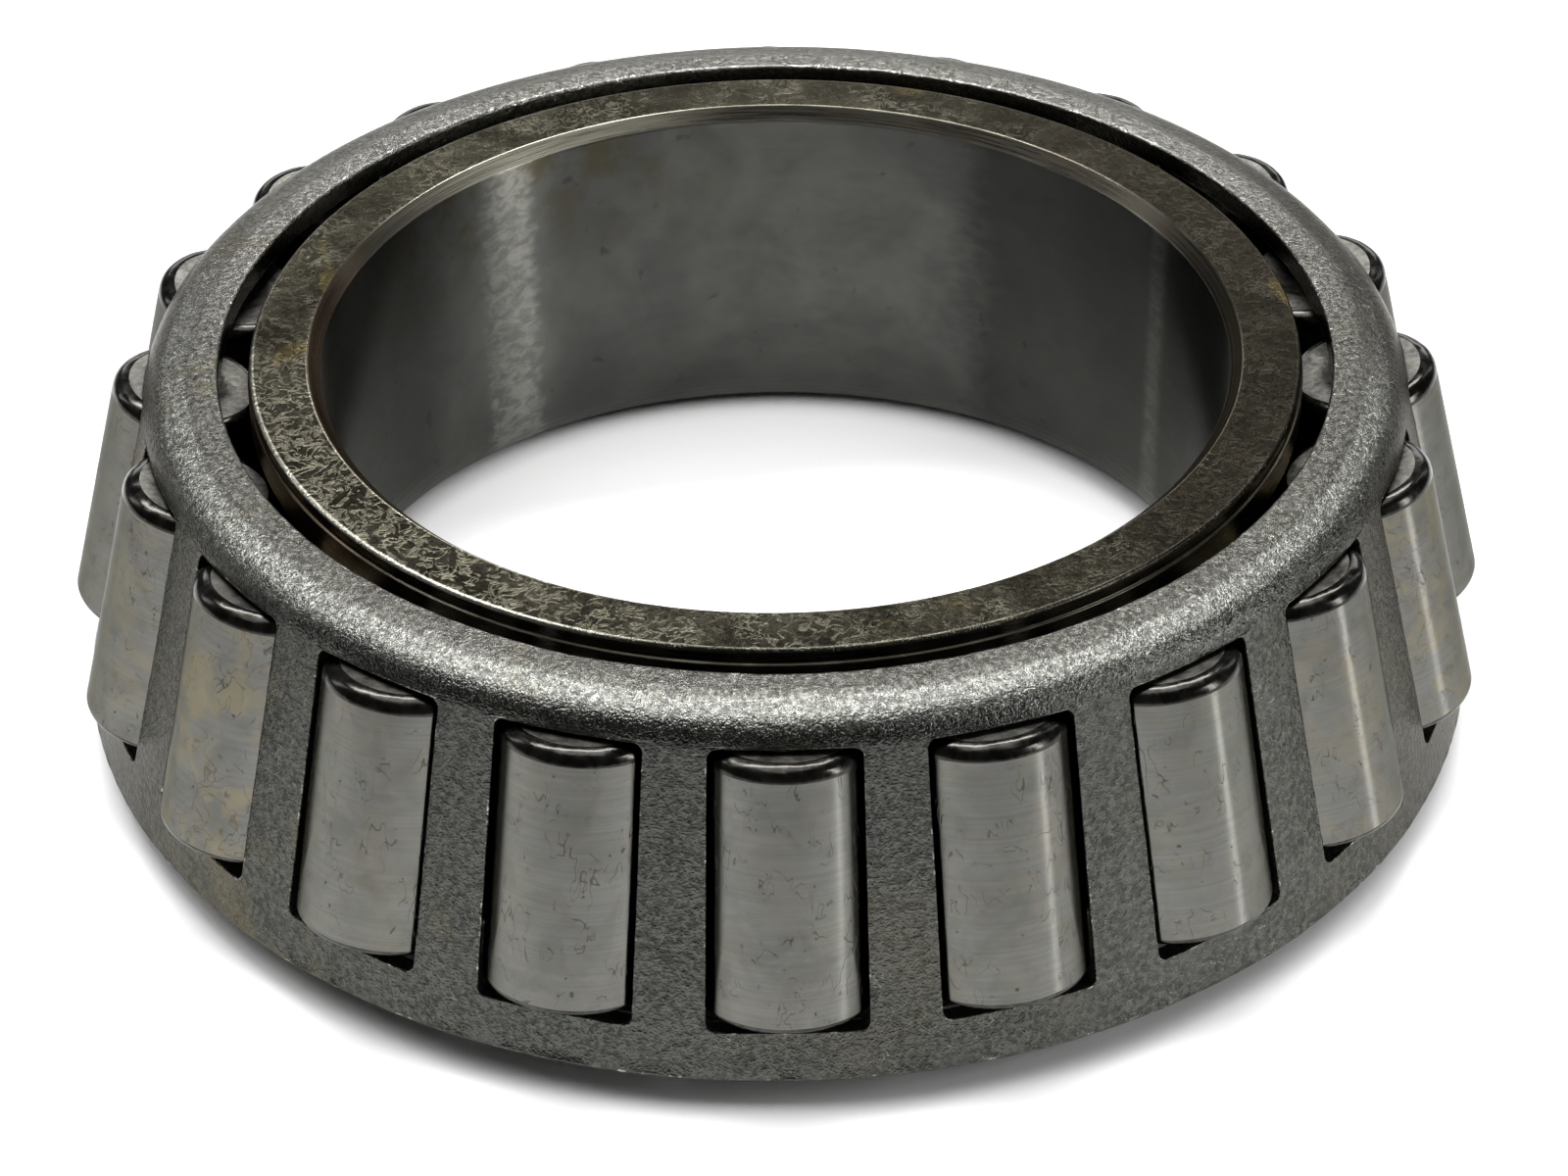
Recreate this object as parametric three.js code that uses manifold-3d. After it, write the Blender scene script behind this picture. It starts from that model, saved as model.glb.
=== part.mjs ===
// Tapered roller bearing, the separable half that a shaft carries: inner ring, pressed cage and rollers.
// Millimetres, +Z up. The origin is the centre of the inner ring's back face, and Z is the bearing's axis.
// The part stands on the back face, with the small ends of the rollers up.

import * as THREE from 'three';
import { mergeVertices } from 'three/addons/utils/BufferGeometryUtils.js';
import Module from 'manifold-3d';

const wasm = await Module();
wasm.setup();

// ---------------------------------------------------------------- driving dimensions

const BORE_RADIUS = 22.621;
const RING_WIDTH = 19.842;
const ROLLER_COUNT = 20;

// Every roller axis and every raceway cone meets the bearing's axis in one point, the apex.
const APEX_HEIGHT = 153.3;
const ROLLER_AXIS_ANGLE = THREE.MathUtils.degToRad(12.17);
const ROLLER_HALF_ANGLE = THREE.MathUtils.degToRad(1.59);
const RUNNING_GAP = 0.05;

// The roller's ground surface, measured from the apex along the roller's own axis.
const ROLLER_SMALL_EDGE = 139.6;
const ROLLER_LARGE_EDGE = 151.75;
const ROLLER_SMALL_CORNER = 0.75;
const ROLLER_LARGE_CORNER = 0.36;

// The inner ring: rib radii, corner sizes and the reliefs that the grinding wheel runs out in.
const SMALL_RIB_RADIUS = 26.16;
const SMALL_RIB_HEIGHT = 2.45;
const LARGE_RIB_RADIUS = 29.4;
const BORE_TOP_CHAMFER = 0.65;
const BORE_BACK_FILLET = 3.6;
const RIB_EDGE_BREAK = 0.25;
const BACK_EDGE_CHAMFER = 0.6;
const RELIEF_DEPTH = 0.3;
const RELIEF_WIDTH = 0.7;
const LARGE_RIB_FOOT_HEIGHT = 3.7;
const LARGE_RIB_FOOT_STEP = 0.35;

// The cage is one pressed sheet: a flat flange, a band that dips outwards, a rounded shoulder and a
// conical wall with windows.
const SHEET = 1.2;
const FLANGE_TOP = 19.74;
const FLANGE_INNER_RADIUS = 27.67;
const DIPPED_BAND_WIDTH = 1.2;
const DIPPED_BAND_TILT = THREE.MathUtils.degToRad(12);
const SHOULDER_RADIUS = 1.8;
const WALL_ANGLE = THREE.MathUtils.degToRad(13.9);
const WINDOW_TOP = new THREE.Vector2(31.53, 18.29);
const CAGE_BOTTOM = 2.07;
const WINDOW_LENGTH = 14.1;
const WINDOW_TOP_HALF_WIDTH = 3.48;
const WINDOW_BOTTOM_HALF_WIDTH = 3.76;
const WINDOW_CORNER = 0.45;
const ROLLER_POCKET_GAP = 0.2;
const SMALL_END_POCKET_GAP = 0.1;

const RING_SEGMENTS = 80;
const ROLLER_SEGMENTS = 20;
const POCKET_SEGMENTS = 28;

// ---------------------------------------------------------------- worked-out dimensions

const ROLLER_MIDDLE = (ROLLER_SMALL_EDGE + ROLLER_LARGE_EDGE) / 2;
const RACEWAY_SLOPE = Math.tan(ROLLER_AXIS_ANGLE - ROLLER_HALF_ANGLE);
const PITCH_ANGLE = (2 * Math.PI) / ROLLER_COUNT;

// ---------------------------------------------------------------- helpers

function point(radius, height) {
  return new THREE.Vector2(radius, height);
}

// Points on a round corner, from one angle to the other, both ends included.
function arc(centre, radius, fromDegrees, toDegrees, steps) {
  const points = [];
  for (let i = 0; i <= steps; i += 1) {
    const angle = THREE.MathUtils.degToRad(fromDegrees + ((toDegrees - fromDegrees) * i) / steps);
    points.push(point(centre.x + radius * Math.cos(angle), centre.y + radius * Math.sin(angle)));
  }
  return points;
}

// A solid of revolution about Z. The profile is a list of (radius, height) points.
function turned(profile, segments) {
  const geometry = new THREE.LatheGeometry(profile, segments);
  geometry.rotateX(Math.PI / 2);
  return solidFrom(geometry);
}

// A closed geometry as a manifold solid, without the slivers that a lathe leaves on its axis.
function solidFrom(geometry) {
  const bare = geometry.clone();
  bare.deleteAttribute('normal');
  bare.deleteAttribute('uv');
  const merged = mergeVertices(bare, 1e-4);
  const index = merged.index.array;
  const triVerts = [];
  for (let i = 0; i < index.length; i += 3) {
    const [a, b, c] = [index[i], index[i + 1], index[i + 2]];
    if (a !== b && b !== c && c !== a) {
      triVerts.push(a, b, c);
    }
  }
  const mesh = new wasm.Mesh({
    numProp: 3,
    vertProperties: new Float32Array(merged.attributes.position.array),
    triVerts: new Uint32Array(triVerts),
  });
  return new wasm.Manifold(mesh);
}

function geometryFrom(solid) {
  const mesh = solid.getMesh();
  const geometry = new THREE.BufferGeometry();
  geometry.setAttribute('position', new THREE.BufferAttribute(mesh.vertProperties, 3));
  geometry.setIndex(new THREE.BufferAttribute(mesh.triVerts, 1));
  geometry.computeVertexNormals();
  return geometry;
}

function piece(name, geometry, material) {
  const mesh = new THREE.Mesh(geometry, new THREE.MeshStandardMaterial(material));
  mesh.name = name;
  return mesh;
}

// Radius of the raceway that the rollers run on, at a height above the back face.
function racewayRadius(height) {
  return (APEX_HEIGHT - height) * RACEWAY_SLOPE - RUNNING_GAP;
}

function rollerRadius(distanceFromApex) {
  return distanceFromApex * Math.tan(ROLLER_HALF_ANGLE);
}

// The (radius, height) point in the bearing's own half plane for a place on a roller: a distance from
// the apex along the roller's axis, and an offset square to that axis, outwards positive.
function rollerPlace(distanceFromApex, offset) {
  const sin = Math.sin(ROLLER_AXIS_ANGLE);
  const cos = Math.cos(ROLLER_AXIS_ANGLE);
  return point(distanceFromApex * sin + offset * cos, APEX_HEIGHT - distanceFromApex * cos + offset * sin);
}

// ---------------------------------------------------------------- inner ring

// The rib faces lie square to the roller axes, next to the rollers' end faces.
function ribFaceHeight(endDistance, radius) {
  const end = rollerPlace(endDistance, 0);
  return end.y + (radius - end.x) * Math.tan(ROLLER_AXIS_ANGLE);
}

function innerRingProfile() {
  const largeEnd = ROLLER_LARGE_EDGE + ROLLER_LARGE_CORNER + RUNNING_GAP;
  const ribFoot = racewayRadius(LARGE_RIB_FOOT_HEIGHT) + LARGE_RIB_FOOT_STEP;
  const racewayStart = ribFaceHeight(largeEnd, ribFoot) + RELIEF_WIDTH;
  const racewayEnd = rollerPlace(ROLLER_SMALL_EDGE, -rollerRadius(ROLLER_SMALL_EDGE)).y + RELIEF_DEPTH;
  const smallRibFoot = RING_WIDTH - SMALL_RIB_HEIGHT;
  const filletCentre = point(BORE_RADIUS + BORE_BACK_FILLET, BORE_BACK_FILLET);
  return [
    ...arc(filletCentre, BORE_BACK_FILLET, 180, 270, 5),
    point(LARGE_RIB_RADIUS - BACK_EDGE_CHAMFER, 0),
    point(LARGE_RIB_RADIUS, BACK_EDGE_CHAMFER),
    point(LARGE_RIB_RADIUS, ribFaceHeight(largeEnd, LARGE_RIB_RADIUS) - RIB_EDGE_BREAK),
    point(LARGE_RIB_RADIUS - RIB_EDGE_BREAK, ribFaceHeight(largeEnd, LARGE_RIB_RADIUS - RIB_EDGE_BREAK)),
    point(ribFoot, ribFaceHeight(largeEnd, ribFoot)),
    point(racewayRadius(racewayStart) - RELIEF_DEPTH, racewayStart - RELIEF_WIDTH / 2),
    point(racewayRadius(racewayStart), racewayStart),
    point(racewayRadius(racewayEnd), racewayEnd),
    point(racewayRadius(racewayEnd) - RELIEF_DEPTH, racewayEnd + RELIEF_WIDTH / 2),
    point(racewayRadius(racewayEnd) - RELIEF_DEPTH, smallRibFoot - RELIEF_DEPTH),
    point(SMALL_RIB_RADIUS - RIB_EDGE_BREAK, smallRibFoot),
    point(SMALL_RIB_RADIUS, smallRibFoot + RIB_EDGE_BREAK),
    point(SMALL_RIB_RADIUS, RING_WIDTH - RIB_EDGE_BREAK),
    point(SMALL_RIB_RADIUS - RIB_EDGE_BREAK, RING_WIDTH),
    point(BORE_RADIUS + BORE_TOP_CHAMFER, RING_WIDTH),
    point(BORE_RADIUS, RING_WIDTH - BORE_TOP_CHAMFER),
    point(BORE_RADIUS, BORE_BACK_FILLET),
  ];
}

function innerRing() {
  const geometry = geometryFrom(turned(innerRingProfile(), RING_SEGMENTS));
  return piece('inner_ring', geometry, { color: 0x5c5a52, roughness: 0.35, metalness: 1 });
}

// ---------------------------------------------------------------- cage

// The wall's outer surface: its radius at a height above the back face.
function wallRadius(height) {
  return WINDOW_TOP.x + (WINDOW_TOP.y - height) * Math.tan(WALL_ANGLE);
}

function cageProfile() {
  const wallDegrees = THREE.MathUtils.radToDeg(WALL_ANGLE);
  const bandDegrees = 90 - THREE.MathUtils.radToDeg(DIPPED_BAND_TILT);
  const sin = Math.sin(DIPPED_BAND_TILT);
  const cos = Math.cos(DIPPED_BAND_TILT);
  const centreHeight = FLANGE_TOP - DIPPED_BAND_WIDTH * sin - SHOULDER_RADIUS * cos;
  const centre = point(wallRadius(centreHeight) - SHOULDER_RADIUS / Math.cos(WALL_ANGLE), centreHeight);
  const inward = SHEET / Math.cos(WALL_ANGLE);
  const innerRadius = SHOULDER_RADIUS - SHEET;
  const innerBandWidth = DIPPED_BAND_WIDTH - SHEET * Math.tan(DIPPED_BAND_TILT / 2);
  return [
    point(wallRadius(CAGE_BOTTOM) - inward, CAGE_BOTTOM),
    point(wallRadius(CAGE_BOTTOM), CAGE_BOTTOM),
    ...arc(centre, SHOULDER_RADIUS, wallDegrees, bandDegrees, 4),
    point(centre.x + SHOULDER_RADIUS * sin - DIPPED_BAND_WIDTH * cos, FLANGE_TOP),
    point(FLANGE_INNER_RADIUS, FLANGE_TOP),
    point(FLANGE_INNER_RADIUS, FLANGE_TOP - SHEET),
    point(centre.x + innerRadius * sin - innerBandWidth * cos, FLANGE_TOP - SHEET),
    ...arc(centre, innerRadius, bandDegrees, wallDegrees, 2),
    point(wallRadius(CAGE_BOTTOM) - inward, CAGE_BOTTOM),
  ];
}

// A window's outline in the plane of the wall: y runs up the wall from the middle of the window.
function windowOutline() {
  const half = WINDOW_LENGTH / 2;
  const corners = [
    point(-WINDOW_BOTTOM_HALF_WIDTH, -half),
    point(WINDOW_BOTTOM_HALF_WIDTH, -half),
    point(WINDOW_TOP_HALF_WIDTH, half),
    point(-WINDOW_TOP_HALF_WIDTH, half),
  ];
  const shape = new THREE.Shape();
  corners.forEach((corner, i) => {
    const before = corners[(i + 3) % 4].clone().sub(corner).setLength(WINDOW_CORNER).add(corner);
    const after = corners[(i + 1) % 4].clone().sub(corner).setLength(WINDOW_CORNER).add(corner);
    if (i === 0) {
      shape.moveTo(before.x, before.y);
    } else {
      shape.lineTo(before.x, before.y);
    }
    shape.quadraticCurveTo(corner.x, corner.y, after.x, after.y);
  });
  shape.closePath();
  return shape;
}

// Turns a shape that lies flat into its place on the wall at one roller: x along the circumference,
// y up the wall and z outwards.
function wallFrame(turn) {
  const tangent = new THREE.Vector3(-Math.sin(turn), Math.cos(turn), 0);
  const outward = new THREE.Vector3(Math.cos(turn), Math.sin(turn), 0);
  const up = outward.clone().multiplyScalar(-Math.sin(WALL_ANGLE)).setZ(Math.cos(WALL_ANGLE));
  const normal = new THREE.Vector3().crossVectors(tangent, up);
  const height = WINDOW_TOP.y - (WINDOW_LENGTH / 2) * Math.cos(WALL_ANGLE);
  const matrix = new THREE.Matrix4().makeBasis(tangent, up, normal);
  return matrix.setPosition(outward.multiplyScalar(wallRadius(height)).setZ(height));
}

function windowCutter(turn) {
  const geometry = new THREE.ExtrudeGeometry(windowOutline(), {
    depth: 3 * SHEET,
    bevelEnabled: false,
    curveSegments: 2,
  });
  geometry.translate(0, 0, -2 * SHEET);
  geometry.applyMatrix4(wallFrame(turn));
  return solidFrom(geometry);
}

// The bars' flanks are hollowed to the roller's own shape, which keeps the rollers from falling out.
function pocketCutter(turn) {
  const top = ROLLER_SMALL_EDGE - ROLLER_SMALL_CORNER - SMALL_END_POCKET_GAP;
  const bottom = ROLLER_LARGE_EDGE + ROLLER_LARGE_CORNER + ROLLER_POCKET_GAP;
  const geometry = new THREE.CylinderGeometry(
    rollerRadius(top) + ROLLER_POCKET_GAP,
    rollerRadius(bottom) + ROLLER_POCKET_GAP,
    bottom - top,
    POCKET_SEGMENTS,
  );
  geometry.rotateX(Math.PI / 2);
  geometry.translate(0, 0, ROLLER_MIDDLE - (top + bottom) / 2);
  geometry.applyMatrix4(rollerFrame(turn));
  return solidFrom(geometry);
}

function cage() {
  let sheet = turned(cageProfile(), RING_SEGMENTS);
  for (let i = 0; i < ROLLER_COUNT; i += 1) {
    sheet = sheet.subtract(windowCutter(rollerTurn(i))).subtract(pocketCutter(rollerTurn(i)));
  }
  return piece('cage', geometryFrom(sheet), { color: 0x6f6e6a, roughness: 0.55, metalness: 1 });
}

// ---------------------------------------------------------------- rollers

// The first roller lies at the front, towards -Y.
function rollerTurn(i) {
  return i * PITCH_ANGLE - Math.PI / 2;
}

// A roller's own frame: the origin on its axis half way along, and z towards the apex.
function rollerFrame(turn) {
  const middle = rollerPlace(ROLLER_MIDDLE, 0);
  const matrix = new THREE.Matrix4().makeRotationZ(turn);
  matrix.multiply(new THREE.Matrix4().makeTranslation(middle.x, 0, middle.y));
  return matrix.multiply(new THREE.Matrix4().makeRotationY(-ROLLER_AXIS_ANGLE));
}

function rollerProfile() {
  const smallEdge = ROLLER_MIDDLE - ROLLER_SMALL_EDGE;
  const largeEdge = ROLLER_MIDDLE - ROLLER_LARGE_EDGE;
  const smallRadius = rollerRadius(ROLLER_SMALL_EDGE);
  const largeRadius = rollerRadius(ROLLER_LARGE_EDGE);
  const largeCorner = point(largeRadius - ROLLER_LARGE_CORNER, largeEdge);
  const smallCorner = point(smallRadius - ROLLER_SMALL_CORNER, smallEdge);
  return [
    point(0, largeEdge - ROLLER_LARGE_CORNER),
    ...arc(largeCorner, ROLLER_LARGE_CORNER, 270, 360, 2),
    ...arc(smallCorner, ROLLER_SMALL_CORNER, 0, 90, 3),
    point(0, smallEdge + ROLLER_SMALL_CORNER),
  ];
}

function roller(i, geometry) {
  const name = `roller_${String(i + 1).padStart(2, '0')}`;
  const mesh = piece(name, geometry, { color: 0xa3a19b, roughness: 0.28, metalness: 1 });
  mesh.applyMatrix4(rollerFrame(rollerTurn(i)));
  return mesh;
}

// ---------------------------------------------------------------- assembly

const group = new THREE.Group();
group.add(innerRing());
group.add(cage());
const rollerGeometry = geometryFrom(turned(rollerProfile(), ROLLER_SEGMENTS));
for (let i = 0; i < ROLLER_COUNT; i += 1) {
  group.add(roller(i, rollerGeometry));
}

export default group;
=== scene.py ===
import math
import random

import bmesh
import bpy
from mathutils import Matrix, Vector, noise


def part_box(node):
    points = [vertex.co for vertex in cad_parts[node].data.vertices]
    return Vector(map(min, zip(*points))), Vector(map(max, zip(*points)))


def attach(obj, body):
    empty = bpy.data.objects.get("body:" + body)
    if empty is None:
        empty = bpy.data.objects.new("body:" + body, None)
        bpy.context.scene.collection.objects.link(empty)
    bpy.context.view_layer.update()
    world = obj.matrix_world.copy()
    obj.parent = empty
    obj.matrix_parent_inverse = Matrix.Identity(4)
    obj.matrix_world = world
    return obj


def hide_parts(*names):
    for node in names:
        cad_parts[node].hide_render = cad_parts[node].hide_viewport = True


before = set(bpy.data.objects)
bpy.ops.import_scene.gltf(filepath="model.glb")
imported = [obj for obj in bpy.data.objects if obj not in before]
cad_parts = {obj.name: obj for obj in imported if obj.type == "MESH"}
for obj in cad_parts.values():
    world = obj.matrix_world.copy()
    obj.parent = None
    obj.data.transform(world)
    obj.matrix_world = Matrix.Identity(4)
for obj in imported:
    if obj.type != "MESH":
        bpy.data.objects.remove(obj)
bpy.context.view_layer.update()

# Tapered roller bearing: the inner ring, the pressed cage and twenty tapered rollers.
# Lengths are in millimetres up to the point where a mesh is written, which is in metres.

METRE = 1000.0

# ---------------------------------------------------------------- dimensions, as in the CAD model

RING_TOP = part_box("inner_ring")[1].z * METRE
FLANGE_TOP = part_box("cage")[1].z * METRE
CAGE_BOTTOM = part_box("cage")[0].z * METRE
ROLLER_COUNT = sum(1 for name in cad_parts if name.startswith("roller_"))
PITCH = 2 * math.pi / ROLLER_COUNT

BORE_RADIUS = 22.621
APEX_HEIGHT = 153.3
ROLLER_AXIS_ANGLE = math.radians(12.17)
ROLLER_HALF_ANGLE = math.radians(1.59)
RUNNING_GAP = 0.05
ROLLER_SMALL_EDGE = 139.6
ROLLER_LARGE_EDGE = 151.75
ROLLER_SMALL_CORNER = 0.75
ROLLER_LARGE_CORNER = 0.36
ROLLER_MIDDLE = (ROLLER_SMALL_EDGE + ROLLER_LARGE_EDGE) / 2
SMALL_RIB_RADIUS = 26.16
SMALL_RIB_HEIGHT = 2.45
LARGE_RIB_RADIUS = 29.4
LARGE_RIB_FOOT_HEIGHT = 3.7
LARGE_RIB_FOOT_STEP = 0.35
RELIEF_DEPTH = 0.3
RELIEF_WIDTH = 0.7
BORE_TOP_CHAMFER = 0.65
BORE_BACK_FILLET = 3.6

SHEET = 1.2
FLANGE_INNER_RADIUS = 27.67
DIPPED_BAND_WIDTH = 1.2
DIPPED_BAND_TILT = math.radians(12.0)
SHOULDER_RADIUS = 1.8
WALL_ANGLE = math.radians(13.9)
WINDOW_TOP_RADIUS = 31.53
WINDOW_TOP_HEIGHT = 18.29
WINDOW_LENGTH = 14.1
WINDOW_TOP_HALF_WIDTH = 3.48
WINDOW_BOTTOM_HALF_WIDTH = 3.76
WINDOW_CORNER = 0.45
POCKET_GAP = 0.2


# ---------------------------------------------------------------- mesh helpers

LARGEST_WORN_CORNER = 0.6
LONGEST_UNCUT = 0.3
LONGEST_FACE = 1.5
BESIDE_CORNER = 0.06
ARC_STEP = math.radians(9)


class Shell:
    """The points, edge wear, faces and finish numbers of one piece."""

    def __init__(self):
        self.vertices, self.wear, self.faces, self.finishes = [], [], [], []

    def grid(self, rows, wear, finishes):
        """Joins rows of points into faces. Each row has its wear, and the finish of the faces after it."""
        start, width = len(self.vertices), len(rows[0])
        for row, worn in zip(rows, wear):
            self.vertices.extend(row)
            self.wear.extend([worn] * width)
        for i in range(len(rows) - 1):
            for j in range(start + i * width, start + (i + 1) * width - 1):
                self.faces.append((j, j + 1, j + 1 + width, j + width))
                self.finishes.append(finishes[i])

    def sweep(self, profile, turns):
        """Carries (radius, height, wear, finish) rows round Z, through the turns given."""
        rows = [[around(radius, turn, height) for turn in turns] for radius, height, _, _ in profile]
        self.grid(rows, [row[2] for row in profile], [row[3] for row in profile])

    def lathe(self, profile, segments):
        self.sweep(profile, [2 * math.pi * (k % segments) / segments for k in range(segments + 1)])

    def piece(self, name, finishes, seed=0.0, stain=0.0, shape=None):
        """Makes the Blender object. shape moves each point, given its normal and its wear."""
        mesh = bpy.data.meshes.new(name)
        mesh.from_pydata([Vector(v) / METRE for v in self.vertices], [], self.faces)
        mesh.polygons.foreach_set("material_index", self.finishes)
        mesh.attributes.new("wear", "FLOAT", "POINT").data.foreach_set("value", self.wear)
        work = bmesh.new()
        work.from_mesh(mesh)
        bmesh.ops.remove_doubles(work, verts=work.verts, dist=2e-7)
        bmesh.ops.dissolve_degenerate(work, edges=work.edges, dist=1e-7)
        bmesh.ops.recalc_face_normals(work, faces=work.faces)
        if shape:
            worn = work.verts.layers.float["wear"]
            work.normal_update()
            moves = [shape(v.co * METRE, v.normal, v[worn]) / METRE for v in work.verts]
            for vertex, move in zip(work.verts, moves):
                vertex.co += move
        for face in work.faces:
            face.smooth = True
        work.to_mesh(mesh)
        work.free()
        for label, value in (("seed", seed), ("stain", stain)):
            attribute = mesh.attributes.new(label, "FLOAT", "POINT")
            attribute.data.foreach_set("value", [value] * len(mesh.vertices))
        for finish in finishes:
            mesh.materials.append(finish)
        thing = bpy.data.objects.new(name, mesh)
        bpy.context.scene.collection.objects.link(thing)
        return thing


def around(radius, turn, height):
    return radius * math.cos(turn), radius * math.sin(turn), height


def corner_arc(corner, before, after, size, steps=None):
    """Points round a corner, each with its direction from the arc's centre.

    before and after are unit vectors that lead away from the corner along its two sides.
    """
    half = before.angle(after) / 2
    centre = corner + (before + after).normalized() * (size / math.sin(half))
    reach = size / math.tan(half)
    start = corner + before * reach - centre
    turn = start.angle_signed(corner + after * reach - centre)
    steps = steps or max(3, math.ceil(abs(turn) / ARC_STEP))
    arms = [Matrix.Rotation(-turn * k / steps, 2) @ start for k in range(steps + 1)]
    return [(centre + arm, arm / size) for arm in arms]


def rounded(corners):
    """A closed profile with rounded corners, from (radius, height, corner size, finish) rows.

    Returns (radius, height, wear, finish) rows. The finish is that of the face that follows the point.
    """
    path = []
    for i, (radius, height, size, finish) in enumerate(corners):
        here = Vector((radius, height))
        before = (Vector(corners[i - 1][:2]) - here).normalized()
        after = (Vector(corners[(i + 1) % len(corners)][:2]) - here).normalized()
        wear = 1.0 if size < LARGEST_WORN_CORNER else 0.0
        for k, (spot, _) in enumerate(corner_arc(here, before, after, size)):
            path.append((spot, wear, finish if k else corners[i - 1][3]))
    rows = []
    for i, (spot, wear, finish) in enumerate(path):
        rows.append((spot.x, spot.y, wear, finish))
        following = path[(i + 1) % len(path)][0]
        length = (following - spot).length
        if length > LONGEST_UNCUT:
            inner = length - 2 * BESIDE_CORNER
            cuts = math.ceil(inner / LONGEST_FACE)
            for k in range(cuts + 1):
                between = spot.lerp(following, (BESIDE_CORNER + inner * k / cuts) / length)
                rows.append((between.x, between.y, 0.0, finish))
    return rows + rows[:1]


# ---------------------------------------------------------------- material helpers

SEED_SPREAD = (17.3, -11.9, 23.1)
RING_DRIFT = 0.02


class Look:
    """A procedural metal. Patterns are functions of position on the piece, in millimetres."""

    def __init__(self, name, **shader):
        self.material = bpy.data.materials.new(name)
        self.material.use_nodes = True
        self.tree = self.material.node_tree
        self.shader = self.tree.nodes["Principled BSDF"]
        self.set(Metallic=1.0, **shader)
        self.wear, self.stain = self.attribute("wear"), self.attribute("stain")
        coordinates = self.node("ShaderNodeTexCoord").outputs["Object"]
        seed = self.attribute("seed")
        apart = self.vector("MULTIPLY", self.combine(seed, seed, seed), SEED_SPREAD)
        self.place = self.vector("MULTIPLY_ADD", coordinates, (METRE, METRE, METRE), apart)
        here = self.vector("SCALE", coordinates, scale=METRE)
        point = self.node("ShaderNodeSeparateXYZ", {0: here})
        self.x, self.y, self.z = (point.outputs[axis] for axis in "XYZ")
        sideways = self.vector("MULTIPLY", here, (1.0, 1.0, 0.0))
        radius = self.node("ShaderNodeVectorMath", {0: sideways}, operation="LENGTH").outputs["Value"]
        rings = self.combine(radius, self.z, self.times(self.x, RING_DRIFT))
        self.rings = self.vector("ADD", rings, apart)

    def node(self, kind, inputs=None, **settings):
        made = self.tree.nodes.new(kind)
        for key, value in settings.items():
            setattr(made, key, value)
        for key, value in (inputs or {}).items():
            if isinstance(value, bpy.types.NodeSocket):
                self.tree.links.new(value, made.inputs[key])
            else:
                made.inputs[key].default_value = value
        return made

    def set(self, **values):
        for key, value in values.items():
            socket = self.shader.inputs[key.replace("_", " ")]
            if isinstance(value, bpy.types.NodeSocket):
                self.tree.links.new(value, socket)
            else:
                socket.default_value = value

    def attribute(self, name):
        return self.node("ShaderNodeAttribute", attribute_name=name).outputs["Fac"]

    def combine(self, x, y, z):
        return self.node("ShaderNodeCombineXYZ", {0: x, 1: y, 2: z}).outputs[0]

    def vector(self, operation, a, b=None, c=None, scale=None):
        inputs = {0: a, 1: b, 2: c, "Scale": scale}
        given = {key: value for key, value in inputs.items() if value is not None}
        return self.node("ShaderNodeVectorMath", given, operation=operation).outputs[0]

    def calc(self, operation, a, b=0.0):
        return self.node("ShaderNodeMath", {0: a, 1: b}, operation=operation).outputs[0]

    def times(self, a, b):
        return self.calc("MULTIPLY", a, b)

    def off(self, value, middle):
        """How far a value is from a middle one, either way."""
        return self.calc("ABSOLUTE", self.calc("SUBTRACT", value, middle))

    def noise(self, scale, detail=2.0, rough=0.5, bend=0.0, where=None, stretch=None, shift=0.0):
        where = where or self.place
        if stretch:
            where = self.vector("MULTIPLY", where, stretch)
        if shift:
            where = self.vector("ADD", where, (shift, shift * 1.7, -shift))
        inputs = {"Vector": where, "Scale": scale, "Detail": detail, "Roughness": rough, "Distortion": bend}
        return self.node("ShaderNodeTexNoise", inputs).outputs["Fac"]

    def level(self, value, low, high, to_low=0.0, to_high=1.0):
        """Goes smoothly from to_low to to_high while the value goes from low to high."""
        inputs = {0: value, 1: low, 2: high, 3: to_low, 4: to_high}
        return self.node("ShaderNodeMapRange", inputs, interpolation_type="SMOOTHSTEP").outputs[0]

    def mix(self, share, a, b):
        """Goes from colour a to colour b as the share goes from 0 to 1."""
        a, b = ((*colour, 1.0) if isinstance(colour, tuple) else colour for colour in (a, b))
        return self.node("ShaderNodeMix", {0: share, 6: a, 7: b}, data_type="RGBA").outputs[2]

    def hairs(self, scale, width, mask_scale, mask_low, stretch, shift):
        """Thin curved lines, 1 on a line and 0 off it, in patches."""
        lines = self.noise(scale, 1.5, 0.6, 0.4, None, stretch, shift)
        patch = self.noise(mask_scale, 1.0, shift=shift + 40.0)
        near = self.level(self.off(lines, 0.5), 0.0, width, 1.0, 0.0)
        return self.times(near, self.level(patch, mask_low, mask_low + 0.1))

    def bump(self, *layers):
        """Each layer is (height, how deep in millimetres)."""
        normal = None
        for height, depth in layers:
            inputs = {"Height": height, "Strength": 1.0, "Distance": depth / METRE}
            if normal:
                inputs["Normal"] = normal
            normal = self.node("ShaderNodeBump", inputs).outputs[0]
        self.set(Normal=normal)

    def brushed_round_axis(self, amount):
        """Grinding marks that run round the piece's own axis, and draw reflections out along it."""
        tangent = self.node("ShaderNodeTangent", direction_type="RADIAL", axis="Z").outputs[0]
        self.set(Anisotropic=amount, Anisotropic_Rotation=0.25, Tangent=tangent)


# ---------------------------------------------------------------- looks
# Masks by place use the photograph's view of the bearing: -Y is the front, and +X is the right.

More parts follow.
